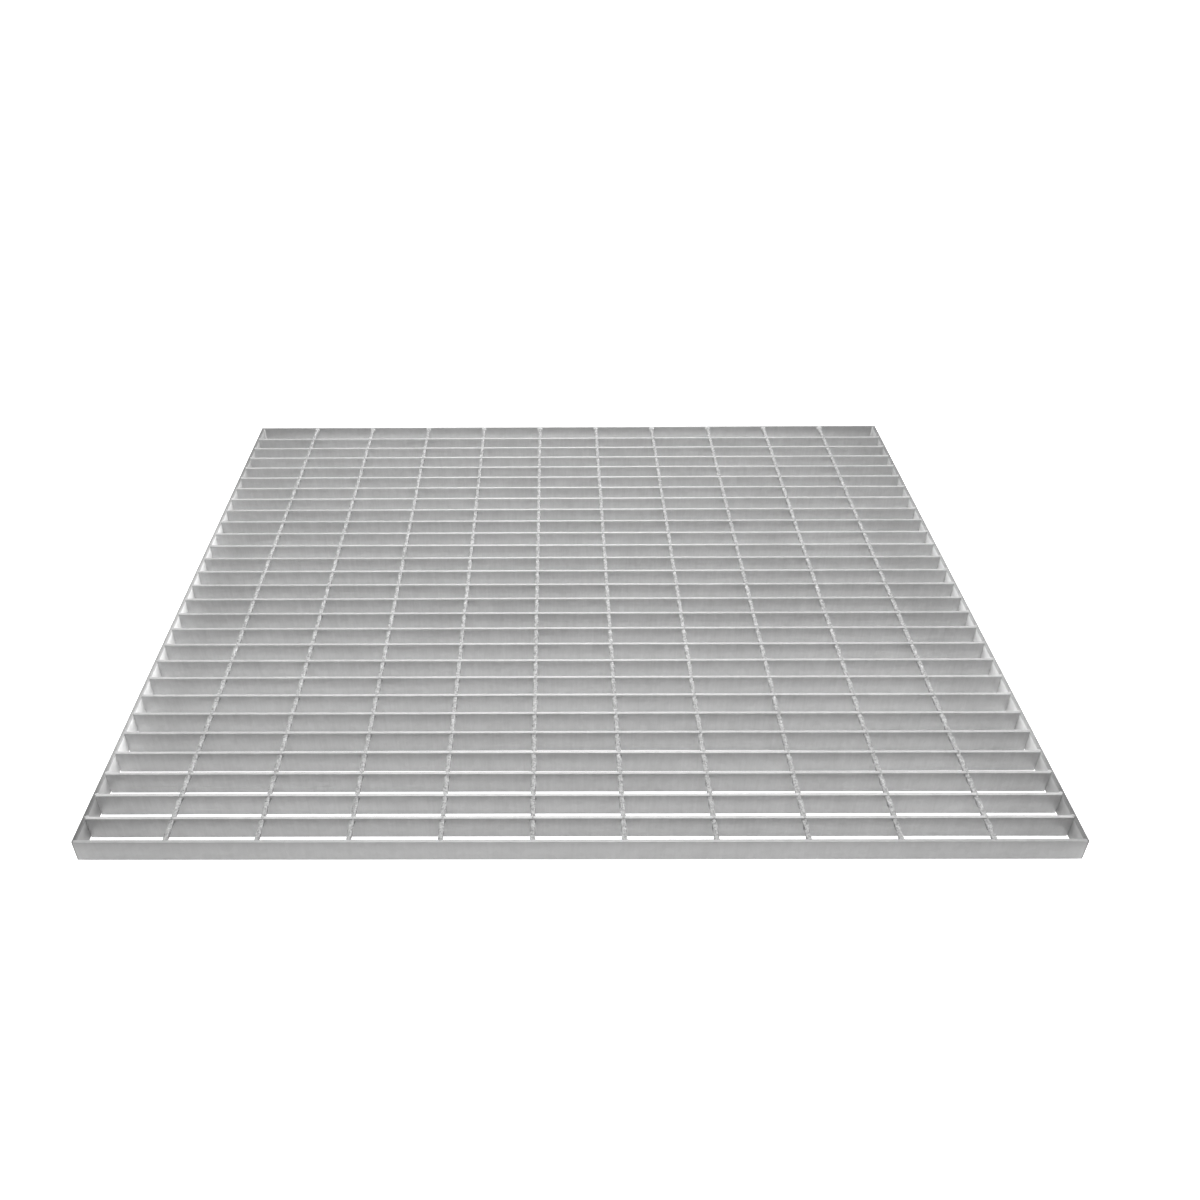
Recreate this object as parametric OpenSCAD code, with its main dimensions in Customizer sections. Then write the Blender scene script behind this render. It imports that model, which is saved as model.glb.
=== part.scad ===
// Welded steel floor grating panel: flat bearing bars side by side, twisted square cross
// rods forged flush into their tops, and a flat steel band closing all four edges.
// Frame: origin at the middle of the underside, +X along the bearing bars, +Z up.

/* [Panel] */
// Overall size along the bearing bars, mm
panel_w = 1100; // [300:10:1500]
// Overall size across the bearing bars, mm
panel_d = 972; // [300:2:1300]
// Height of the bars, mm
bar_h = 30; // [20:1:50]

/* [Bearing bars] */
// Distance from one bearing bar to the next, mm
bar_pitch = 34.3; // [30:0.1:60]
// Thickness of a bearing bar, mm
bar_t = 4; // [3:0.5:6]

/* [Cross rods] */
// Distance from one cross rod to the next, mm
rod_pitch = 100; // [75:5:150]
// Side of the square steel that the rods are twisted from, mm
rod_side = 5; // [4:0.5:6]
// Quarter turns of twist between neighbouring bearing bars
quarter_turns = 2; // [1:1:3]

/* [Forged crossings] */
// How far the squeezed-out metal stands out from each side of a bearing bar, mm
forge_out = 1.2; // [0.8:0.1:1.6]
// How far it spreads past each side of the rod at the bar's top, mm
forge_lip = 1.5; // [0.5:0.1:2.5]
// How far it reaches below the rod, mm
forge_under = 0.5; // [0.2:0.1:2]

/* [Edge band] */
// Thickness of the flats round the edge, mm
band_t = 4; // [3:0.5:8]
// How far the flats stop short of the bars' feet, so that water runs out under them, mm
band_short = 2; // [0:0.5:5]

/* [Hidden] */

inner_w = panel_w - 2 * band_t;
inner_d = panel_d - 2 * band_t;
inner_front = -inner_d / 2;
inner_back = inner_d / 2;
band_h = bar_h - band_short;

// The front flat takes the place of a bar, and the bars run back from it for as long as one
// more leaves half a gap to the back flat.
bar_count = floor((inner_d - bar_t) / bar_pitch - 0.5);
first_bar_y = -panel_d / 2 + bar_pitch;
last_bar_y = first_bar_y + (bar_count - 1) * bar_pitch;

// The rods are centred, with a whole rod pitch or more left at each side.
rod_count = floor(panel_w / rod_pitch) - 1;

// Half a diagonal of the square: as far as a twisted rod reaches from its own axis.
rod_reach = rod_side * sqrt(2) / 2;
rod_z = bar_h - rod_reach;
turn_per_mm = 90 * quarter_turns / bar_pitch;
slice_turn = 50;
// The rods stand on their corners in the middle of the first gap, and so in every other gap.
corner_y = first_bar_y + (bar_t + bar_pitch) / 2;

steel = [0.70, 0.71, 0.72];
band_steel = [0.66, 0.67, 0.68];

module at_each_rod() {
    for (i = [0 : rod_count - 1])
        translate([(i - (rod_count - 1) / 2) * rod_pitch, 0, 0]) children();
}

module at_each_bar() {
    for (i = [0 : bar_count - 1])
        translate([0, first_bar_y + i * bar_pitch, 0]) children();
}

module bearing_bar() {
    translate([-inner_w / 2, 0, 0]) cube([inner_w, bar_t, bar_h]);
}

// Square steel turned about its own length, from one place across the panel to another.
module twisted_length(from_y, to_y) {
    turn = (to_y - from_y) * turn_per_mm;
    translate([0, from_y, rod_z])
        rotate([-90, 0, 0])
            linear_extrude(height = to_y - from_y, twist = turn, slices = round(turn / slice_turn), $fn = 4)
                rotate(45 - (from_y - corner_y) * turn_per_mm) square(rod_side, center = true);
}

// A cross rod shows only between the forged crossings, and ends square on the band.
module cross_rod() {
    twisted_length(inner_front, first_bar_y - forge_out);
    for (i = [0 : bar_count - 2])
        translate([0, i * bar_pitch, 0])
            twisted_length(first_bar_y + bar_t + forge_out, first_bar_y + bar_pitch - forge_out);
    twisted_length(last_bar_y + bar_t + forge_out, inner_back);
}

// The metal that the press squeezes out round the rod on both sides of a bearing bar.
module forged_crossing() {
    translate([0, bar_t + forge_out, bar_h])
        rotate([90, 0, 0])
            linear_extrude(height = bar_t + 2 * forge_out)
                polygon([
                    [-rod_reach - forge_lip, 0],
                    [-rod_reach, -2 * rod_reach - forge_under],
                    [rod_reach, -2 * rod_reach - forge_under],
                    [rod_reach + forge_lip, 0]
                ]);
}

module grating_mat() {
    color(steel) {
        at_each_bar() bearing_bar();
        at_each_rod() {
            cross_rod();
            at_each_bar() forged_crossing();
        }
    }
}

module long_flat() {
    color(band_steel) translate([-panel_w / 2, 0, band_short]) cube([panel_w, band_t, band_h]);
}

module short_flat() {
    color(band_steel) translate([0, inner_front, band_short]) cube([band_t, inner_d, band_h]);
}

module edge_flat_front() {
    translate([0, -panel_d / 2, 0]) long_flat();
}

module edge_flat_back() {
    translate([0, panel_d / 2 - band_t, 0]) long_flat();
}

module edge_flat_left() {
    translate([-panel_w / 2, 0, 0]) short_flat();
}

module edge_flat_right() {
    translate([panel_w / 2 - band_t, 0, 0]) short_flat();
}

grating_mat();
edge_flat_front();
edge_flat_back();
edge_flat_left();
edge_flat_right();
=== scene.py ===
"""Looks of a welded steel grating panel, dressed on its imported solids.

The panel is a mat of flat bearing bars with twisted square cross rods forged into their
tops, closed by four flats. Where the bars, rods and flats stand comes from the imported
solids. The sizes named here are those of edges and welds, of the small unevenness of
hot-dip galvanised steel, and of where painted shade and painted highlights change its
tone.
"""

import logging
import math
from collections.abc import Callable, Iterable
from dataclasses import dataclass, field
from enum import Enum
from typing import ClassVar

import bmesh
import bpy
from mathutils import Matrix, Vector, noise

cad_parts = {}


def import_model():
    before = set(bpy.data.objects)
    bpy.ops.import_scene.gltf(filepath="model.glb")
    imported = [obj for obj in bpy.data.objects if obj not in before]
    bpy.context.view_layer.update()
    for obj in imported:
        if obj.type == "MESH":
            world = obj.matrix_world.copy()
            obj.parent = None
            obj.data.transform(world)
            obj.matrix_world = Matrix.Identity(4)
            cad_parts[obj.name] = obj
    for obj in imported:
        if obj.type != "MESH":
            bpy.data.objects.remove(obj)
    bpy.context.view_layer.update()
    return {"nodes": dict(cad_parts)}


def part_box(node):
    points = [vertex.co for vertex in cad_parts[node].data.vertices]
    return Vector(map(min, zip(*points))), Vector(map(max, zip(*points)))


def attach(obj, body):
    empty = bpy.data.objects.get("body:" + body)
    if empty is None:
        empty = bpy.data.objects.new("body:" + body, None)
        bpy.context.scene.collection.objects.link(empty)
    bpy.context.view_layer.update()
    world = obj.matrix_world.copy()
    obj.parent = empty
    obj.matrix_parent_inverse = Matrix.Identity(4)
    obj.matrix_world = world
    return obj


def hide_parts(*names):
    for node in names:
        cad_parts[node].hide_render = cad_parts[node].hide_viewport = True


LOG = logging.getLogger("grating_panel")
MM = 0.001
BODY = "root"
MAT_NODE = "grating_mat"
MAT_SLOT = "galvanised_mat"
BAND_SLOT = "galvanised_band"

# Brings the noise along a length to about -1 to 1.
NOISE_GAIN = 1.6
# Sets neighbouring pieces apart in the noise, so that they don't look alike.
SEED_STEP = 7.31
# An edge that keeps this share of its length along an axis runs along that axis.
ALONG = 0.999
# Edges between faces that meet at more than this are left sharp.
SHARP_ANGLE = math.radians(50)


class Axis(Enum):
    """A direction that a piece of steel runs in."""

    X = 0
    Y = 1
    Z = 2

    @property
    def vector(self) -> Vector:
        """The unit vector of this direction."""
        return Vector([1.0 if i == self.value else 0.0 for i in range(3)])


class Side(Enum):
    """An edge of the panel: the axis it faces along, and which way."""

    FRONT = (Axis.Y, -1)
    BACK = (Axis.Y, 1)
    LEFT = (Axis.X, -1)
    RIGHT = (Axis.X, 1)

    @property
    def node(self) -> str:
        """The name of the CAD node of the flat on this edge."""
        return f"edge_flat_{self.name.lower()}"

    @property
    def runs(self) -> Axis:
        """The axis that the flat on this edge runs along."""
        return Axis.X if self.value[0] is Axis.Y else Axis.Y


def smoothstep(t: float) -> float:
    """A soft step from 0 to 1 as t goes from 0 to 1."""
    t = min(max(t, 0.0), 1.0)
    return t * t * (3.0 - 2.0 * t)


def unevenness(t: float, seed: float, wavelength: float) -> float:
    """Smooth noise along a length of steel.

    Args:
        t: Place along the length, in metres.
        seed: A different number for each piece.
        wavelength: Distance over which it changes, in metres.

    Returns:
        A value of about -1 to 1, 0 on average.
    """
    return NOISE_GAIN * noise.noise(Vector((t / wavelength, SEED_STEP * seed, 3.7)))


@dataclass(frozen=True)
class Layout:
    """Where the panel's steel stands, in metres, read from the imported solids."""

    low: Vector
    high: Vector
    inner_low: Vector
    inner_high: Vector
    bars: tuple[tuple[float, float], ...]
    rods: tuple[float, ...]
    rod_z: float
    rod_reach: float

    @classmethod
    def from_frame(cls, nodes: dict[str, bpy.types.Object]) -> "Layout":
        """Reads the bars and rods off the mat's own corners.

        Args:
            nodes: The CAD nodes by name.

        Returns:
            The layout of the whole panel.
        """
        inner_low, inner_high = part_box(MAT_NODE)
        front_low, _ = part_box(Side.FRONT.node)
        _, back_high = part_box(Side.BACK.node)
        near = 0.01 * MM
        between_rods = 10 * MM
        corners = [v.co for v in nodes[MAT_NODE].data.vertices]
        foot = (c for c in corners if c.z < inner_low.z + near and c.x < inner_low.x + near)
        faces = cls._distinct(c.y for c in foot)
        ends = [c for c in corners if c.y > inner_high.y - near]
        heights = [c.z for c in ends]
        rod_z = 0.5 * (min(heights) + max(heights))
        groups = cls._grouped((c.x for c in ends), gap=between_rods)
        rods = tuple(0.5 * (g[0] + g[-1]) for g in groups)
        reach = max(
            math.hypot(c.x - min(rods, key=lambda r: abs(r - c.x)), c.z - rod_z) for c in ends
        )
        return cls(
            low=Vector((front_low.x, front_low.y, inner_low.z)),
            high=Vector((back_high.x, back_high.y, inner_high.z)),
            inner_low=inner_low,
            inner_high=inner_high,
            bars=tuple(zip(faces[0::2], faces[1::2], strict=True)),
            rods=rods,
            rod_z=rod_z,
            rod_reach=reach,
        )

    @staticmethod
    def _grouped(values: Iterable[float], gap: float) -> list[list[float]]:
        """Splits values into sorted groups with more than gap between them.

        Args:
            values: Places along one axis.
            gap: The widest step that stays within a group.

        Returns:
            The groups, each in order.
        """
        groups: list[list[float]] = []
        for value in sorted(values):
            if groups and value - groups[-1][-1] <= gap:
                groups[-1].append(value)
            else:
                groups.append([value])
        return groups

    @classmethod
    def _distinct(cls, values: Iterable[float]) -> list[float]:
        """The distinct values, to a tenth of a millimetre, in order."""
        return [group[0] for group in cls._grouped(values, gap=0.1 * MM)]

    @property
    def pitch(self) -> float:
        """Distance from one bearing bar to the next."""
        return (self.bars[-1][0] - self.bars[0][0]) / (len(self.bars) - 1)

    @property
    def bar_t(self) -> float:
        """Thickness of a bearing bar."""
        return self.bars[0][1] - self.bars[0][0]

    @property
    def bar_middles(self) -> tuple[float, ...]:
        """The middle plane of each bearing bar, front to back."""
        return tuple(0.5 * (near + far) for near, far in self.bars)


class Steelwork:
    """One object put together from pieces that are each shaped in a bmesh of their own."""

    def __init__(self, name: str, layout: Layout) -> None:
        """Starts an empty object that stays inside the panel's own box.

        Args:
            name: The name of the finished object.
            layout: Where the panel stands, for its outer box.
        """
        self.name = name
        self._low, self._high = layout.low, layout.high
        self._bm = bmesh.new()

    def add(self, piece: bmesh.types.BMesh) -> None:
        """Takes a finished piece in and frees it.

        Args:
            piece: The shaped piece, which isn't used after this.
        """
        mesh = bpy.data.meshes.new("piece")
        piece.to_mesh(mesh)
        piece.free()
        self._bm.from_mesh(mesh)
        bpy.data.meshes.remove(mesh)

    def _keep_inside(self) -> None:
        """Flattens whatever a lump or bead stands out of the panel's own box."""
        for vert in self._bm.verts:
            limits = zip(self._low, vert.co, self._high, strict=True)
            vert.co = Vector(max(low, min(place, high)) for low, place, high in limits)

    def finish(self, material: bpy.types.Material, slot: str, *nodes: str) -> bpy.types.Object:
        """Makes the object, smooth over its rounded edges, and ties it to the frame.

        Args:
            material: Its finish.
            slot: The record's material slot, which is not used.
            nodes: The CAD nodes that it stands for.

        Returns:
            The new object, with its place in its mesh.
        """
        self._keep_inside()
        bmesh.ops.recalc_face_normals(self._bm, faces=self._bm.faces)
        for face in self._bm.faces:
            face.smooth = True
        for edge in self._bm.edges:
            if len(edge.link_faces) == 2 and edge.calc_face_angle(0.0) > SHARP_ANGLE:
                edge.smooth = False
        mesh = bpy.data.meshes.new(self.name)
        self._bm.to_mesh(mesh)
        self._bm.free()
        mesh.materials.append(material)
        piece = bpy.data.objects.new(self.name, mesh)
        bpy.context.scene.collection.objects.link(piece)
        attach(piece, BODY)
        if nodes:
            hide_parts(*nodes)
        triangles = sum(len(p.vertices) - 2 for p in mesh.polygons)
        LOG.info("%s: %d triangles", self.name, triangles)
        return piece


def edges_along(bm: bmesh.types.BMesh, axis: Axis) -> list[bmesh.types.BMEdge]:
    """Finds the edges of a piece that run along an axis.

    Args:
        bm: The piece.
        axis: The axis.

    Returns:
        Those edges.
    """
    found = []
    for edge in bm.edges:
        run = edge.verts[1].co - edge.verts[0].co
        if abs(run[axis.value]) > ALONG * run.length:
            found.append(edge)
    return found


def block(low: Vector, high: Vector) -> bmesh.types.BMesh:
    """Makes a square-edged block of steel between two corners.

    Args:
        low: The corner with the lowest place on each axis.
        high: The corner opposite it.

    Returns:
        The block.
    """
    bm = bmesh.new()
    place = Matrix.Translation(0.5 * (low + high)) @ Matrix.Diagonal((*(high - low), 1.0))
    bmesh.ops.create_cube(bm, size=1.0, matrix=place)
    return bm


def round_edges(
    bm: bmesh.types.BMesh, edges: list[bmesh.types.BMEdge], radius: float, steps: int
) -> None:
    """Rounds edges of a piece to a radius, in a few steps.

    Args:
        bm: The piece.
        edges: Which of its edges.
        radius: How far in the rounding starts.
        steps: How many flats make up the rounding.
    """
    bmesh.ops.bevel(
        bm, geom=edges, offset=radius, segments=steps, profile=0.5, affect="EDGES", material=-1
    )


def cut_along(bm: bmesh.types.BMesh, axis: Axis, start: float, end: float, spacing: float) -> None:
    """Cuts a piece into short lengths, so that it can be bent a little.

    Args:
        bm: The piece.
        axis: The axis that it runs along.
        start: Where it starts.
        end: Where it ends.
        spacing: About how long each length is.
    """
    cuts = max(1, round((end - start) / spacing))
    for i in range(1, cuts):
        place = axis.vector * (start + (end - start) * i / cuts)
        bmesh.ops.bisect_plane(
            bm, geom=bm.verts[:] + bm.edges[:] + bm.faces[:], plane_co=place, plane_no=axis.vector
        )


def bend(bm: bmesh.types.BMesh, shift: Callable[[Vector], Vector]) -> None:
    """Moves each corner of a piece by what shift gives for its place."""
    for vert in bm.verts:
        vert.co += shift(vert.co)


@dataclass
class BearingBars:
    """The flat bars that carry the load, each rolled with soft edges and slightly bowed."""

    layout: Layout
    edge_radius: float = 0.55 * MM
    top_gap: float = 0.15 * MM
    end_gap: float = 0.2 * MM
    edge_steps: int = 2
    length_step: float = 24 * MM
    bow: float = 0.28 * MM
    bow_wave: float = 0.31
    lean: float = 0.7 * MM
    lean_wave: float = 0.6
    lean_seed: float = 40.0

    def build(self, finish: "ZincFinish") -> bpy.types.Object:
        """Builds all bearing bars as one object.

        Args:
            finish: The zinc that they are dressed in.

        Returns:
            The object, which stands for the mat's CAD node.
        """
        steel = Steelwork("bearing_bars", self.layout)
        for index, (near, far) in enumerate(self.layout.bars):
            steel.add(self._bar(index, near, far))
        return steel.finish(finish.material("zinc_on_bars"), MAT_SLOT, MAT_NODE)

    def _bar(self, index: int, near: float, far: float) -> bmesh.types.BMesh:
        """One bar between its front and back face.

        Args:
            index: Its number, counted from the front.
            near: Place of its front face.
            far: Place of its back face.

        Returns:
            The shaped bar.
        """
        low, high = self.layout.inner_low, self.layout.inner_high
        start = Vector((low.x + self.end_gap, near, low.z))
        end = Vector((high.x - self.end_gap, far, high.z - self.top_gap))
        bar = block(start, end)
        round_edges(bar, edges_along(bar, Axis.X), self.edge_radius, self.edge_steps)
        cuts = round((end.x - start.x) / self.length_step) - 1
        bmesh.ops.subdivide_edges(
            bar, edges=edges_along(bar, Axis.X), cuts=cuts, use_grid_fill=True
        )
        foot, height = start.z, end.z - start.z

        def sway(place: Vector) -> Vector:
            """Gives how far the bar is bowed and leans at a place.

            Args:
                place: A corner of the bar.

            Returns:
                How far that corner moves.
            """
            up = (place.z - foot) / height
            bowed = self.bow * unevenness(place.x, index, self.bow_wave)
            leaning = unevenness(place.x, index + self.lean_seed, self.lean_wave)
            leant = self.lean * leaning * (1.0 - up)
            return Vector((0.0, bowed + leant, 0.0))

        bend(bar, sway)
        return bar


@dataclass
class CrossRods:
    """The square rods, twisted along their length and squeezed where the press forged them in."""

    layout: Layout
    quarter_turns: int = 2
    corner_radius: float = 0.35 * MM
    steps_per_pitch: int = 14
    squeeze_reach: float = 3.4 * MM
    squeeze_wide: float = 0.16
    squeeze_flat: float = 0.12
    sag: float = 0.12 * MM
    sag_wave: float = 0.05
    sag_seed: float = 90.0
    top_gap: float = 0.04 * MM

    def build(self, finish: "ZincFinish") -> bpy.types.Object:
        """Builds all cross rods as one object.

        Args:
            finish: The zinc that they are dressed in.

        Returns:
            The object, which stands for the mat's CAD node together with the bars.
        """
        steel = Steelwork("cross_rods", self.layout)
        for index, x in enumerate(self.layout.rods):
            steel.add(self._rod(index, x))
        return steel.finish(finish.material("zinc_on_rods"), MAT_SLOT, MAT_NODE)

    def _rod(self, index: int, x: float) -> bmesh.types.BMesh:
        """One twisted rod from the front flat to the back flat.

        Args:
            index: Its number, counted from the left.
            x: Place of its axis.

        Returns:
            The shaped rod.
        """
        layout = self.layout
        start, end = layout.inner_low.y, layout.inner_high.y
        steps = round((end - start) / layout.pitch * self.steps_per_pitch)
        turn_per_m = self.quarter_turns * 0.5 * math.pi / layout.pitch
        corner_y = 0.5 * (layout.bar_middles[0] + layout.bar_middles[1])
        rod = bmesh.new()
        ring = bmesh.ops.create_circle(rod, segments=4, radius=layout.rod_reach)
        bmesh.ops.bevel(
            rod,
            geom=ring["verts"],
            offset=self.corner_radius * math.sqrt(2.0),
            segments=2,
            profile=0.5,
            affect="VERTICES",
            material=-1,
        )
        first = (corner_y - start) * turn_per_m
        stand = Matrix.Translation((x, start, layout.rod_z)) @ Matrix.Rotation(first, 4, "Y")
        upright = stand @ Matrix.Rotation(math.radians(90), 4, "X")
        bmesh.ops.transform(rod, matrix=upright, verts=rod.verts)
        bmesh.ops.spin(
            rod,
            geom=rod.verts[:] + rod.edges[:],
            cent=(x, start, layout.rod_z),
            axis=(0.0, 1.0, 0.0),
            dvec=(0.0, (end - start) / steps, 0.0),
            angle=-(end - start) * turn_per_m,
            steps=steps,
        )
        bmesh.ops.holes_fill(rod, edges=rod.edges)
        self._squeeze(rod, index, x)
        return rod

    def _squeeze(self, rod: bmesh.types.BMesh, index: int, x: float) -> None:
        """Widens and flattens a rod where it crosses the bars, level with their tops.

        Args:
            rod: The twisted rod.
            index: Its number, counted from the left.
            x: Place of its axis.
        """
        layout = self.layout
        top = layout.inner_high.z - self.top_gap
        for vert in rod.verts:
            middle = min(layout.bar_middles, key=lambda y: abs(y - vert.co.y))
            away = abs(vert.co.y - middle) - 0.5 * layout.bar_t
            pressed = smoothstep(1.0 - away / self.squeeze_reach)
            out = vert.co.x - x
            up = vert.co.z - layout.rod_z
            sag = self.sag * unevenness(vert.co.y, index + self.sag_seed, self.sag_wave)
            vert.co.x = x + out * (1.0 + self.squeeze_wide * pressed) + 2.0 * sag
            vert.co.z = layout.rod_z + up * (1.0 - self.squeeze_flat * pressed) + sag
            vert.co.z = min(vert.co.z, top)


@dataclass
class Bead:
    """A run of weld metal laid along a seam, with the ripples that the welder's hand leaves."""

    start: Vector
    end: Vector
    radius: float
    seed: float = 0.0
    ripple: float = 2.4 * MM
    ripple_depth: float = 0.10
    lumps: float = 0.14
    lump_wave: float = 0.006
    tip: float = 0.35
    sides: int = 8

    def build(self) -> bmesh.types.BMesh:
        """Builds the bead as a rippled round with closed ends that narrow to their tips.

        Returns:
            The bead.
        """
        run = self.end - self.start
        steps = max(4, round(2.0 * run.length / self.ripple))
        bm = bmesh.new()
        bmesh.ops.create_circle(bm, segments=self.sides, radius=self.radius)
        turn = Vector((0.0, 0.0, 1.0)).rotation_difference(run).to_matrix().to_4x4()
        bmesh.ops.transform(bm, matrix=Matrix.Translation(self.start) @ turn, verts=bm.verts)
        bmesh.ops.spin(
            bm,
            geom=bm.verts[:] + bm.edges[:],
            cent=self.start,
            axis=run.normalized(),
            dvec=run / steps,
            angle=0.0,
            steps=steps,
        )
        bmesh.ops.holes_fill(bm, edges=bm.edges)
        direction = run.normalized()
        for vert in bm.verts:
            t = (vert.co - self.start).dot(direction)
            core = self.start + t * direction
            wave = self.ripple_depth * math.cos(2.0 * math.pi * t / self.ripple)
            lump = self.lumps * unevenness(t, self.seed, self.lump_wave)
            near_end = min(t, run.length - t) / self.radius
            taper = self.tip + (1.0 - self.tip) * smoothstep(near_end)
            vert.co = core + (vert.co - core) * (1.0 + wave + lump) * taper
        return bm


@dataclass
class Nugget:
    """A lump of squeezed-out or welded metal with an uneven skin, cut level on top."""

    centre: Vector
    half: Vector
    top: float
    seed: float
    roughness: float = 0.16
    skin_scale: float = 1.7

    def build(self) -> bmesh.types.BMesh:
        """Builds the lump from a coarse ball.

        Returns:
            The lump.
        """
        bm = bmesh.new()
        bmesh.ops.create_icosphere(bm, subdivisions=2, radius=1.0)
        for vert in bm.verts:
            spot = self.skin_scale * vert.co + Vector((self.seed, 5.1, 2.3))
            skin = 1.0 + self.roughness * noise.noise(spot)
            place = Vector(p * h * skin for p, h in zip(vert.co, self.half, strict=True))
            vert.co = self.centre + place
            vert.co.z = min(vert.co.z, self.top)
        return bm


@dataclass
class ForgedCrossings:
    """The metal squeezed out round each rod where it was pressed into a bearing bar."""

    layout: Layout
    half: Vector = field(default_factory=lambda: Vector((3.3 * MM, 2.9 * MM, 4.0 * MM)))
    below_top: float = 3.1 * MM
    flash: float = 0.6 * MM
    stray: float = 0.6 * MM
    stray_along: float = 0.6
    spread: float = 0.14
    rod_seed: float = 3.17
    bar_seed: float = 11.9
    top_gap: float = 0.02 * MM

    def build(self, finish: "ZincFinish") -> bpy.types.Object:
        """Builds the lumps at all crossings as one object.

        Args:
            finish: The zinc that they are dressed in.

        Returns:
            The object, which stands for the mat's CAD node together with the bars.
        """
        steel = Steelwork("forged_crossings", self.layout)
        top = self.layout.inner_high.z - self.top_gap
        for i, x in enumerate(self.layout.rods):
            for j, y in enumerate(self.layout.bar_middles):
                seed = self.rod_seed * i + self.bar_seed * j
                size = 1.0 + self.spread * noise.noise(Vector((seed, 1.3, 8.8))) * 2.0
                stray = self.stray * noise.noise(Vector((seed, 9.4, 0.7)))
                centre = Vector(
                    (x + self.flash + stray, y + self.stray_along * stray, top - self.below_top)
                )
                steel.add(Nugget(centre, self.half * size, top, seed).build())
        return steel.finish(finish.material("zinc_on_crossings"), MAT_SLOT, MAT_NODE)


@dataclass
class EdgeBand:
    """The four flats that close the panel's edges, each slightly bowed inwards."""

    layout: Layout
    edge_radius: float = 0.32 * MM
    edge_steps: int = 2
    corner_radius: float = 1.7 * MM
    corner_steps: int = 3
    outer_gap: float = 0.05 * MM
    top_gap: float = 0.12 * MM
    length_step: float = 26 * MM
    bow: float = 0.16 * MM
    bow_wave: float = 0.27
    bow_seed: float = 60.0

    def build(self, side: Side, finish: "ZincFinish") -> bpy.types.Object:
        """Builds the flat on one edge of the panel.

        Args:
            side: Which edge.
            finish: The zinc that it is dressed in.

        Returns:
            The object, which stands for that flat's CAD node.
        """
        low, high = (corner.copy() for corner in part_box(side.node))
        across, way = side.value
        if way < 0:
            low[across.value] += self.outer_gap
        else:
            high[across.value] -= self.outer_gap
        if side.runs is Axis.X:
            low.x += self.outer_gap
            high.x -= self.outer_gap
        high.z -= self.top_gap
        flat = block(low, high)
        if side.runs is Axis.X:
            round_edges(flat, edges_along(flat, Axis.Z), self.corner_radius, self.corner_steps)
        level = 0.1 * MM
        outline = [e for e in flat.edges if abs(e.verts[0].co.z - e.verts[1].co.z) < level]
        round_edges(flat, outline, self.edge_radius, self.edge_steps)
        run = side.runs.value
        cut_along(flat, side.runs, low[run], high[run], self.length_step)

        def sway(place: Vector) -> Vector:
            """Gives how far the flat is bowed at a place.

            Args:
                place: A corner of the flat.

            Returns:
                How far that corner moves.
            """
            wave = unevenness(place[run], self.bow_seed + run + way, self.bow_wave)
            inward = 0.5 + 0.5 * wave
            return across.vector * (-way * self.bow * min(max(inward, 0.0), 1.0))

        bend(flat, sway)
        steel = Steelwork(side.node.replace("edge", "dressed_edge"), self.layout)
        steel.add(flat)
        zinc = finish.material(f"zinc_on_{side.name.lower()}_flat")
        return steel.finish(zinc, BAND_SLOT, side.node)


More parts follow.
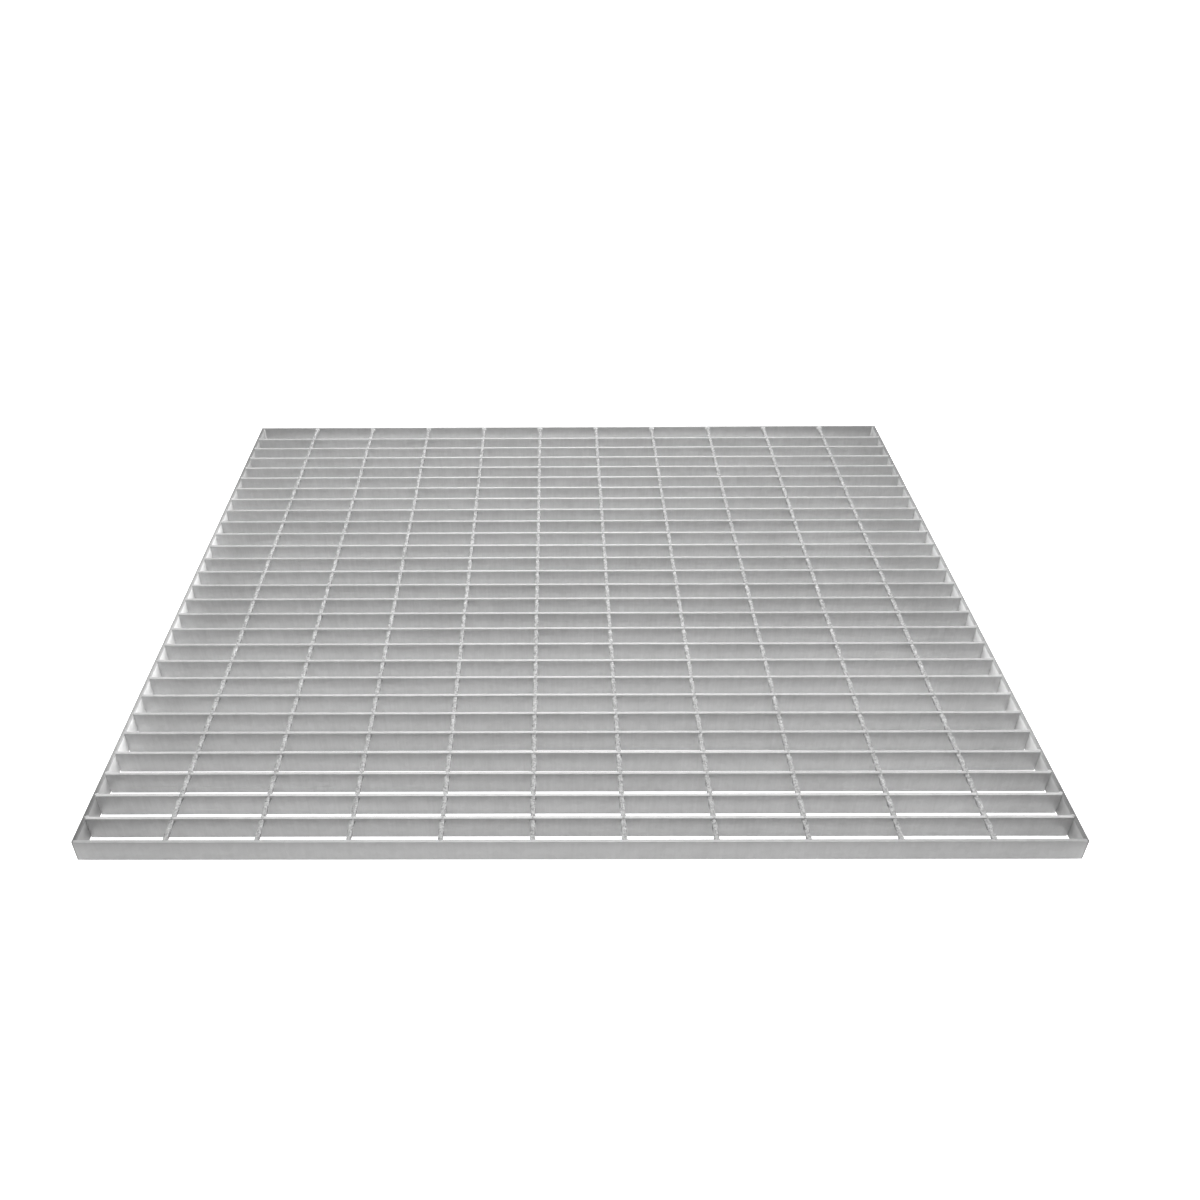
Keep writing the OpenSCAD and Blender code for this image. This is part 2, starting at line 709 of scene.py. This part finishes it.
@dataclass
class BandWelds:
    """The welds that hold the band: at the corners, the rods' ends and the bars' ends."""

    layout: Layout
    corner_foot: float = 1.2 * MM
    corner_head: float = 0.9 * MM
    inside_radius: float = 2.3 * MM
    inside_sides: int = 10
    outside_radius: float = 1.05 * MM
    outside_sunk: float = 1.15 * MM
    outside_off_seam: float = 0.2 * MM
    rod_lump: tuple[float, float, float] = (4.4 * MM, 3.2 * MM, 4.0 * MM)
    rod_lump_front: float = 0.75
    rod_lump_sunk: float = 0.4 * MM
    rod_lump_drop: float = 2.8 * MM
    bar_fillet_radius: float = 1.9 * MM
    bar_fillet_sides: int = 6
    bar_fillet_drop: float = 1.6 * MM
    bar_fillet_in: float = 0.3 * MM
    bar_lump: tuple[float, float, float] = (2.4 * MM, 2.6 * MM, 2.2 * MM)
    bar_lump_sunk: float = 0.5 * MM
    bar_lump_drop: float = 1.3 * MM

    def build(self, finish: "ZincFinish") -> bpy.types.Object:
        """Builds all the welds as one object.

        Args:
            finish: The zinc that they are dressed in.

        Returns:
            The object with all welds.
        """
        steel = Steelwork("band_welds", self.layout)
        for piece in [*self._corner_welds(), *self._rod_end_welds(), *self._bar_end_welds()]:
            steel.add(piece)
        return steel.finish(finish.material("zinc_on_welds"), BAND_SLOT)

    def _corner_welds(self) -> Iterable[bmesh.types.BMesh]:
        """Builds the seams that stand in the four corners, inside and outside.

        Yields:
            Each bead.
        """
        layout = self.layout
        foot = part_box(Side.FRONT.node)[0].z + self.corner_foot
        head = layout.inner_high.z - self.corner_head
        for i, x in enumerate((layout.inner_low.x, layout.inner_high.x)):
            for j, y in enumerate((layout.inner_low.y, layout.inner_high.y)):
                seed = 1.0 + 2 * i + j
                inside = Vector((x, y, foot)), Vector((x, y, head))
                yield Bead(*inside, self.inside_radius, seed, sides=self.inside_sides).build()
                out = layout.low.x if i == 0 else layout.high.x
                sunk = out + (self.outside_sunk if i == 0 else -self.outside_sunk)
                seam = y + (-self.outside_off_seam if j == 0 else self.outside_off_seam)
                outside = Vector((sunk, seam, foot)), Vector((sunk, seam, head))
                yield Bead(*outside, self.outside_radius, seed + 9.0).build()

    def _rod_end_welds(self) -> Iterable[bmesh.types.BMesh]:
        """Builds the lumps that join each rod's ends to the front and back flats.

        Yields:
            Each lump.
        """
        layout = self.layout
        top = layout.inner_high.z - 0.01 * MM
        ends = ((layout.inner_low.y, 1.0), (layout.inner_high.y, -1.0))
        for i, x in enumerate(layout.rods):
            for j, (y, inward) in enumerate(ends):
                seed = 20.0 + 2.3 * i + 31.0 * j
                size = 1.0 + 0.25 * noise.noise(Vector((seed, 4.2, 6.6)))
                share = size if inward < 0.0 else self.rod_lump_front * size
                half = Vector(self.rod_lump) * share
                centre = Vector((x, y - self.rod_lump_sunk * inward, top - self.rod_lump_drop))
                yield Nugget(centre, half, top, seed, roughness=0.22).build()

    def _bar_end_welds(self) -> Iterable[bmesh.types.BMesh]:
        """Builds a fillet behind each bar's end, with a small lump where it comes up to the top.

        Yields:
            Each fillet and then its lump.
        """
        layout = self.layout
        top = layout.inner_high.z - 0.03 * MM
        head = top - self.bar_fillet_drop
        ends = ((layout.inner_low.x, 1.0), (layout.inner_high.x, -1.0))
        for i, (x, inward) in enumerate(ends):
            for j, (_, far) in enumerate(layout.bars):
                seed = 70.0 + 1.9 * j + 45.0 * i
                lift = (3.0 + 2.0 * noise.noise(Vector((seed, 0.4, 0.9)))) * MM
                seam_x = x + self.bar_fillet_in * inward
                foot = Vector((seam_x, far, layout.inner_low.z + lift))
                yield Bead(
                    foot,
                    Vector((seam_x, far, head)),
                    self.bar_fillet_radius,
                    seed,
                    sides=self.bar_fillet_sides,
                ).build()
                centre = Vector((x, far - self.bar_lump_sunk, top - self.bar_lump_drop))
                yield Nugget(centre, Vector(self.bar_lump), top, seed, roughness=0.25).build()


@dataclass(frozen=True)
class PaintedShading:
    """Painted shade or highlight: a tone change between two places along an axis, steady beyond
    them.
    """

    start: float
    end: float
    change: float
    axis: Axis = Axis.Z

    def build(self, graph: "Graph", place: bpy.types.NodeSocket) -> bpy.types.NodeSocket:
        """Adds the painted shade or highlight to a material.

        Args:
            graph: The material that it is added to.
            place: The place on the panel.

        Returns:
            A factor of 1 up to the start, which has changed by change from the end on.
        """
        parts = graph.add("ShaderNodeSeparateXYZ")
        graph.link(place, parts.inputs["Vector"])
        limits = {
            "From Min": self.start,
            "From Max": self.end,
            "To Min": 1.0,
            "To Max": 1.0 + self.change,
        }
        ramp = graph.add("ShaderNodeMapRange", limits, clamp=True)
        graph.link(parts.outputs[self.axis.name], ramp.inputs["Value"])
        return ramp.outputs["Result"]


@dataclass(frozen=True)
class ZincFinish:
    """Hot-dip galvanised steel that has gone matt: soft gloss, fine vertical runs, cloudy tone."""

    tone: float
    roughness: float = 0.47
    metallic: float = 0.24
    gloss: float = 0.30
    cloud: float = 0.10
    runs: float = 0.08
    grain: float = 0.06
    bar_to_bar: float = 0.0
    pitch: float = 1.0
    bump: float = 0.35
    speckle: float = 0.0
    spangle: float = 0.03
    # Painted shade and painted highlights that scale the tone by place.
    painted_shading: tuple[PaintedShading, ...] = ()

    # How many times each pattern comes to a metre. Runs and blotches are drawn out upwards.
    CLOUD_SCALE: ClassVar[float] = 16.0
    RUN_SCALE: ClassVar[tuple[float, float, float]] = (330.0, 330.0, 16.0)
    BLOTCH_SCALE: ClassVar[tuple[float, float, float]] = (95.0, 95.0, 30.0)
    SPANGLE_SCALE: ClassVar[float] = 140.0
    SPECKLE_SCALE: ClassVar[float] = 430.0
    GRAIN_SCALE: ClassVar[float] = 1500.0
    BUMP_DEPTH: ClassVar[float] = 0.35 * MM

    def material(self, name: str) -> bpy.types.Material:
        """Makes the node material.

        Args:
            name: Its name.

        Returns:
            The material, which reads Object coordinates.
        """
        material = bpy.data.materials.new(name)
        material.use_nodes = True
        graph = Graph(material.node_tree)
        place = graph.add("ShaderNodeTexCoord").outputs["Object"]
        along_runs = graph.stretched(place, self.RUN_SCALE)
        along_blotches = graph.stretched(place, self.BLOTCH_SCALE)
        clouds = graph.noise(place, scale=self.CLOUD_SCALE, detail=4.0, roughness=0.6)
        runs = graph.noise(along_runs, scale=1.0, detail=3.0, roughness=0.65)
        blotches = graph.noise(along_blotches, scale=1.0, detail=3.0, roughness=0.6)
        grain = graph.noise(place, scale=self.GRAIN_SCALE, detail=2.0, roughness=0.5)
        speckle = graph.noise(place, scale=self.SPECKLE_SCALE, detail=2.0, roughness=0.7)
        value = graph.sum(
            graph.swing(clouds, self.cloud),
            graph.swing(runs, self.runs),
            graph.swing(blotches, self.runs),
            graph.swing(grain, self.grain),
            graph.swing(self._spangles(graph, place), self.spangle),
            self._bar_tone(graph, place),
            graph.swing(speckle, self.speckle),
        )
        black_to_tone = {"A": (0.0, 0.0, 0.0, 1.0), "B": (*[self.tone] * 3, 1.0)}
        colour = graph.add("ShaderNodeMix", black_to_tone, data_type="RGBA")
        colour.clamp_factor = False
        # The painted shade and highlights darken or lighten the zinc by place.
        painted_shading = (shade.build(graph, place) for shade in self.painted_shading)
        shaded = graph.product(graph.sum(value, constant=1.0), *painted_shading)
        graph.link(shaded, colour.inputs["Factor"])
        rough = graph.sum(
            graph.swing(clouds, 0.10), graph.swing(blotches, 0.12), constant=self.roughness
        )
        height = graph.sum(
            graph.swing(grain, 0.5), graph.swing(runs, 0.5), graph.swing(blotches, 0.8)
        )
        bump = graph.add("ShaderNodeBump", {"Strength": self.bump, "Distance": self.BUMP_DEPTH})
        graph.link(height, bump.inputs["Height"])
        shader = graph.shader
        shader.inputs["Metallic"].default_value = self.metallic
        shader.inputs["Specular IOR Level"].default_value = self.gloss
        graph.link(graph.output_of(colour), shader.inputs["Base Color"])
        graph.link(rough, shader.inputs["Roughness"])
        graph.link(bump.outputs["Normal"], shader.inputs["Normal"])
        return material

    def _spangles(self, graph: "Graph", place: bpy.types.NodeSocket) -> bpy.types.NodeSocket:
        """Gives each crystal of zinc a value of its own.

        Args:
            graph: The material that it is added to.
            place: The place on the panel.

        Returns:
            A value from 0 to 1.
        """
        cells = graph.add("ShaderNodeTexVoronoi", {"Scale": self.SPANGLE_SCALE})
        graph.link(place, cells.inputs["Vector"])
        parts = graph.add("ShaderNodeSeparateColor")
        graph.link(cells.outputs["Color"], parts.inputs["Color"])
        return parts.outputs["Red"]

    def _bar_tone(self, graph: "Graph", place: bpy.types.NodeSocket) -> bpy.types.NodeSocket:
        """Gives each bar a tone of its own.

        Args:
            graph: The material that it is added to.
            place: The place on the panel.

        Returns:
            A change of tone that is steady over one bar.
        """
        parts = graph.add("ShaderNodeSeparateXYZ")
        graph.link(place, parts.inputs["Vector"])
        step = graph.maths("FLOOR", graph.maths("DIVIDE", parts.outputs["Y"], self.pitch), 0.0)
        chance = graph.add("ShaderNodeTexWhiteNoise", noise_dimensions="1D")
        graph.link(step, chance.inputs["W"])
        return graph.swing(chance.outputs["Value"], self.bar_to_bar)


class Graph:
    """Short ways to add and join nodes in a material."""

    def __init__(self, tree: bpy.types.NodeTree) -> None:
        """Starts on a material's own tree."""
        self.tree = tree
        self.shader = next(n for n in tree.nodes if n.type == "BSDF_PRINCIPLED")

    def add(
        self, kind: str, inputs: dict[str, object] | None = None, **options: object
    ) -> bpy.types.Node:
        """Adds a node, sets its options and then its inputs.

        Args:
            kind: The node's type.
            inputs: Values for its inputs, by name.
            options: Values for its properties.

        Returns:
            The node.
        """
        node = self.tree.nodes.new(kind)
        for name, value in options.items():
            setattr(node, name, value)
        for name, value in (inputs or {}).items():
            self._input(node, name, value).default_value = value
        return node

    @staticmethod
    def _input(node: bpy.types.Node, name: str, value: object) -> bpy.types.NodeSocket:
        """Finds the input that a value goes into.

        Args:
            node: The node.
            name: The name of the input.
            value: What it is to be set to.

        Returns:
            The enabled input of that name, of the kind that fits the value.
        """
        wanted = "RGBA" if isinstance(value, tuple) and len(value) == 4 else None
        found = [s for s in node.inputs if s.name == name and s.enabled]
        return next((s for s in found if wanted is None or s.type == wanted), found[0])

    @staticmethod
    def output_of(node: bpy.types.Node) -> bpy.types.NodeSocket:
        """The node's first enabled output."""
        return next(s for s in node.outputs if s.enabled)

    def link(self, source: bpy.types.NodeSocket, target: bpy.types.NodeSocket) -> None:
        """Joins an output to an input."""
        self.tree.links.new(source, target)

    def maths(self, operation: str, a: bpy.types.NodeSocket, b: float) -> bpy.types.NodeSocket:
        """Does one sum on a value and a number.

        Args:
            operation: What the Math node does.
            a: The value.
            b: The number.

        Returns:
            The result.
        """
        node = self.add("ShaderNodeMath", operation=operation)
        self.link(a, node.inputs[0])
        node.inputs[1].default_value = b
        return node.outputs["Value"]

    def stretched(
        self, place: bpy.types.NodeSocket, scale: tuple[float, float, float]
    ) -> bpy.types.NodeSocket:
        """Scales a place differently along each axis.

        Args:
            place: The place.
            scale: The scale along X, Y and Z.

        Returns:
            The scaled place.
        """
        node = self.add("ShaderNodeMapping", {"Scale": scale})
        self.link(place, node.inputs["Vector"])
        return node.outputs["Vector"]

    def noise(
        self, place: bpy.types.NodeSocket, scale: float, detail: float, roughness: float
    ) -> bpy.types.NodeSocket:
        """Adds cloudy noise.

        Args:
            place: The place.
            scale: How many clouds come to a metre.
            detail: How many finer layers lie over them.
            roughness: How strong the finer layers are.

        Returns:
            A value from 0 to 1.
        """
        settings = {"Scale": scale, "Detail": detail, "Roughness": roughness}
        node = self.add("ShaderNodeTexNoise", settings)
        self.link(place, node.inputs["Vector"])
        return node.outputs["Fac"]

    def swing(self, value: bpy.types.NodeSocket, amount: float) -> bpy.types.NodeSocket:
        """Turns a value into a swing about 0.

        Args:
            value: A value from 0 to 1.
            amount: How far it is to swing either way.

        Returns:
            A value from -amount to amount.
        """
        node = self.add("ShaderNodeMapRange", {"To Min": -amount, "To Max": amount}, clamp=False)
        self.link(value, node.inputs["Value"])
        return node.outputs["Result"]

    def sum(self, *values: bpy.types.NodeSocket, constant: float = 0.0) -> bpy.types.NodeSocket:
        """All the values and a constant, added up."""
        return self._chain("ADD", self.maths("ADD", values[0], constant), values[1:])

    def product(self, *values: bpy.types.NodeSocket) -> bpy.types.NodeSocket:
        """All the values multiplied."""
        return self._chain("MULTIPLY", values[0], values[1:])

    def _chain(
        self, operation: str, first: bpy.types.NodeSocket, others: Iterable[bpy.types.NodeSocket]
    ) -> bpy.types.NodeSocket:
        """Applies one operation from value to value.

        Args:
            operation: What each Math node does.
            first: The value to start from.
            others: The values that follow.

        Returns:
            The result.
        """
        total = first
        for value in others:
            node = self.add("ShaderNodeMath", operation=operation)
            self.link(total, node.inputs[0])
            self.link(value, node.inputs[1])
            total = node.outputs["Value"]
        return total


@dataclass(frozen=True)
class PanelZinc:
    """The zinc on each kind of steel in the panel, with its painted shade and highlights placed by
    the layout.
    """

    layout: Layout

    @property
    def bars(self) -> ZincFinish:
        """On the bearing bars, each of its own tone."""
        return ZincFinish(tone=0.61, bar_to_bar=0.05, pitch=self.layout.pitch)

    @property
    def rods(self) -> ZincFinish:
        """On the rods and crossings: mottled, with a painted highlight on their tops, painted
        shade on their flanks and towards the front.
        """
        return ZincFinish(
            tone=0.235,
            roughness=0.45,
            metallic=0.30,
            runs=0.10,
            cloud=0.08,
            grain=0.10,
            bump=0.45,
            speckle=1.1,
            # Painted highlight on the tops over painted shade on the flanks; painted shade towards
            # the front.
            painted_shading=(PaintedShading(26.6 * MM, 28.8 * MM, 1.10), self._painted_shade_from_front(300, 0, -0.20)),
        )

    @property
    def welds(self) -> ZincFinish:
        """On the weld metal: a more uneven skin, with painted shade near the front and on the
        outside.
        """
        return ZincFinish(
            tone=0.60,
            roughness=0.42,
            runs=0.05,
            bump=0.6,
            # Painted shade towards the front and next to the left and right outer faces.
            painted_shading=(self._painted_shade_from_front(60, 10, -0.35), *self._painted_shade_outside(2.4, 1.4, -0.50)),
        )

    def flat(self, side: Side) -> ZincFinish:
        """On one flat of the band, with painted shade and painted highlights.

        Args:
            side: The edge that the flat closes.

        Returns:
            Its finish.
        """
        # The left flat is the lighter of two copies of one zinc, a painted difference in light,
        # with painted shade towards the front corner and towards the back.
        if side is Side.LEFT:
            return self._side_flat(
                0.76, self._painted_shade_from_front(155, 60, -0.62), PaintedShading(150 * MM, 360 * MM, -0.45, Axis.Y)
            )
        # The right flat is the darker copy, with painted shade towards the front corner and
        # towards the back.
        if side is Side.RIGHT:
            return self._side_flat(
                0.68, self._painted_shade_from_front(165, 75, -0.50), PaintedShading(120 * MM, 340 * MM, -0.30, Axis.Y)
            )
        back = self.layout.high.y
        return ZincFinish(
            tone=0.71,
            runs=0.06,
            cloud=0.05,
            # Painted shade on the ends and on the back flat's outer face, darker towards the top
            # of the face, a painted dark line under the top edge, a painted highlight along the
            # top and painted shade towards both ends.
            painted_shading=(
                *self._painted_shade_outside(2.4, 1.4, -0.60),
                PaintedShading(back - 0.7 * MM, back - 0.3 * MM, -0.40, Axis.Y),
                PaintedShading(2.0 * MM, 28.0 * MM, -0.32),
                PaintedShading(28.9 * MM, 29.2 * MM, -0.22),
                PaintedShading(29.4 * MM, 29.7 * MM, 0.30),
                PaintedShading(250 * MM, 520 * MM, -0.12, Axis.X),
                PaintedShading(-250 * MM, -520 * MM, -0.10, Axis.X),
            ),
        )

    def _side_flat(self, tone: float, *along: PaintedShading) -> ZincFinish:
        """Makes the finish of a left or right flat, with painted shade at its top and on its outer
        face.

        Args:
            tone: How light the zinc is.
            along: The painted shade along the flat.

        Returns:
            Its finish.
        """
        # Painted shade on the flat's top edge and on its outer face.
        painted_top_shade = PaintedShading(26.9 * MM, 27.8 * MM, -0.38)
        painted_shading = (painted_top_shade, *self._painted_shade_outside(0.7, 0.3, -0.65), *along)
        return ZincFinish(tone=tone, cloud=0.06, painted_shading=painted_shading)

    def _painted_shade_from_front(self, start: float, end: float, change: float) -> PaintedShading:
        """A painted shade between two distances from the panel's front, in millimetres."""
        front = self.layout.low.y
        return PaintedShading(front + start * MM, front + end * MM, change, Axis.Y)

    def _painted_shade_outside(self, start: float, end: float, change: float) -> tuple[PaintedShading, PaintedShading]:
        """Makes the painted shades next to the panel's left and right outer faces.

        Args:
            start: How far in from those faces the shades start, in millimetres.
            end: How far in they are complete.
            change: The change of tone.

        Returns:
            The shade at the left and the one at the right.
        """
        left, right = self.layout.low.x, self.layout.high.x
        return (
            PaintedShading(left + start * MM, left + end * MM, change, Axis.X),
            PaintedShading(right - start * MM, right - end * MM, change, Axis.X),
        )


@dataclass(frozen=True)
class Eye:
    """The camera: where it stands, how it is turned, and its lens."""

    place: tuple[float, float, float] = (-0.0258, -1.2860, 0.9371)
    pitch: float = math.radians(36.108)
    yaw: float = math.radians(-0.524)
    roll: float = math.radians(0.475)
    lens: float = 32.835
    shift_x: float = 0.0451

    def build(self) -> bpy.types.Object:
        """Creates the camera and makes it the scene's.

        Returns:
            The camera.
        """
        data = bpy.data.cameras.new("camera")
        data.lens = self.lens
        data.shift_x = self.shift_x
        camera = bpy.data.objects.new("camera", data)
        bpy.context.scene.collection.objects.link(camera)
        camera.matrix_world = (
            Matrix.Translation(self.place)
            @ Matrix.Rotation(-self.yaw, 4, "Z")
            @ Matrix.Rotation(math.radians(90) - self.pitch, 4, "X")
            @ Matrix.Rotation(-self.roll, 4, "Z")
        )
        bpy.context.scene.camera = camera
        return camera


@dataclass(frozen=True)
class Lamp:
    """A soft box: a square lamp that looks at a point."""

    name: str
    place: tuple[float, float, float]
    aim: tuple[float, float, float]
    size: float
    power: float

    def build(self) -> bpy.types.Object:
        """Creates the lamp.

        Returns:
            The lamp.
        """
        data = bpy.data.lights.new(self.name, "AREA")
        data.shape = "SQUARE"
        data.size = self.size
        data.energy = self.power
        lamp = bpy.data.objects.new(self.name, data)
        bpy.context.scene.collection.objects.link(lamp)
        lamp.location = self.place
        towards = Vector(self.aim) - Vector(self.place)
        lamp.rotation_euler = towards.to_track_quat("-Z", "Y").to_euler()
        return lamp


@dataclass
class Studio:
    """A white sweep under soft light."""

    floor_size: float = 40.0
    floor_colour: float = 0.78
    floor_white: float = 0.94
    floor_glow: float = 0.70
    sky: float = 0.05
    lamps: tuple[Lamp, ...] = (
        Lamp("overhead_softbox", (0.0, -0.25, 2.3), (0.0, 0.0, 0.0), 1.9, 35.3),
        Lamp("back_softbox", (0.0, 2.1, 1.6), (0.0, 0.0, 0.0), 1.0, 16.0),
        Lamp("left_softbox", (-6.0, 0.32, 1.5), (0.0, 0.2, 0.0), 3.4, 445.0),
        Lamp("right_softbox", (6.0, 0.32, 1.5), (0.0, 0.2, 0.0), 3.4, 575.0),
    )

    def build(self) -> None:
        """Creates the floor, the sky and the lamps."""
        self._floor()
        self._sky()
        for lamp in self.lamps:
            lamp.build()
        bpy.context.scene.view_settings.view_transform = "Standard"

    def _floor(self) -> None:
        """A wide pale floor that shows nearly white and still takes the panel's shadow."""
        bm = bmesh.new()
        bmesh.ops.create_grid(bm, x_segments=1, y_segments=1, size=0.5 * self.floor_size)
        mesh = bpy.data.meshes.new("studio_floor")
        bm.to_mesh(mesh)
        bm.free()
        floor = bpy.data.objects.new("studio_floor", mesh)
        bpy.context.scene.collection.objects.link(floor)
        material = bpy.data.materials.new("studio_paper")
        material.use_nodes = True
        graph = Graph(material.node_tree)
        shader = graph.shader
        shader.inputs["Base Color"].default_value = (*[self.floor_colour] * 3, 1.0)
        shader.inputs["Roughness"].default_value = 0.9
        shader.inputs["Specular IOR Level"].default_value = 0.0
        shader.inputs["Emission Color"].default_value = (1.0, 1.0, 1.0, 1.0)
        rays = graph.add("ShaderNodeLightPath")
        glow = graph.sum(
            graph.maths("MULTIPLY", rays.outputs["Is Camera Ray"], self.floor_white),
            graph.maths("MULTIPLY", rays.outputs["Is Glossy Ray"], self.floor_glow),
            graph.maths("MULTIPLY", rays.outputs["Is Transmission Ray"], self.floor_glow),
        )
        graph.link(glow, shader.inputs["Emission Strength"])
        mesh.materials.append(material)

    def _sky(self) -> None:
        """An even sky that lights the panel softly from all round."""
        world = bpy.data.worlds.new("studio_sky")
        world.use_nodes = True
        background = next(n for n in world.node_tree.nodes if n.type == "BACKGROUND")
        background.inputs["Color"].default_value = (1.0, 1.0, 1.0, 1.0)
        rays = world.node_tree.nodes.new("ShaderNodeLightPath")
        strength = world.node_tree.nodes.new("ShaderNodeMapRange")
        strength.inputs["To Min"].default_value = self.sky
        strength.inputs["To Max"].default_value = 1.0
        world.node_tree.links.new(rays.outputs["Is Camera Ray"], strength.inputs["Value"])
        world.node_tree.links.new(strength.outputs["Result"], background.inputs["Strength"])
        bpy.context.scene.world = world


def main() -> None:
    """Builds the panel's pieces in order, then the studio and the camera."""
    logging.basicConfig(level=logging.INFO, format="%(name)s: %(message)s")
    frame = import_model()
    layout = Layout.from_frame(frame["nodes"])
    LOG.info("%d bars at %.4f m, %d rods", len(layout.bars), layout.pitch, len(layout.rods))

    zinc = PanelZinc(layout)
    BearingBars(layout).build(zinc.bars)
    CrossRods(layout).build(zinc.rods)
    ForgedCrossings(layout).build(zinc.rods)
    band = EdgeBand(layout)
    for side in Side:
        band.build(side, zinc.flat(side))
    BandWelds(layout).build(zinc.welds)

    Studio().build()
    Eye().build()


if __name__ == "__main__":
    main()
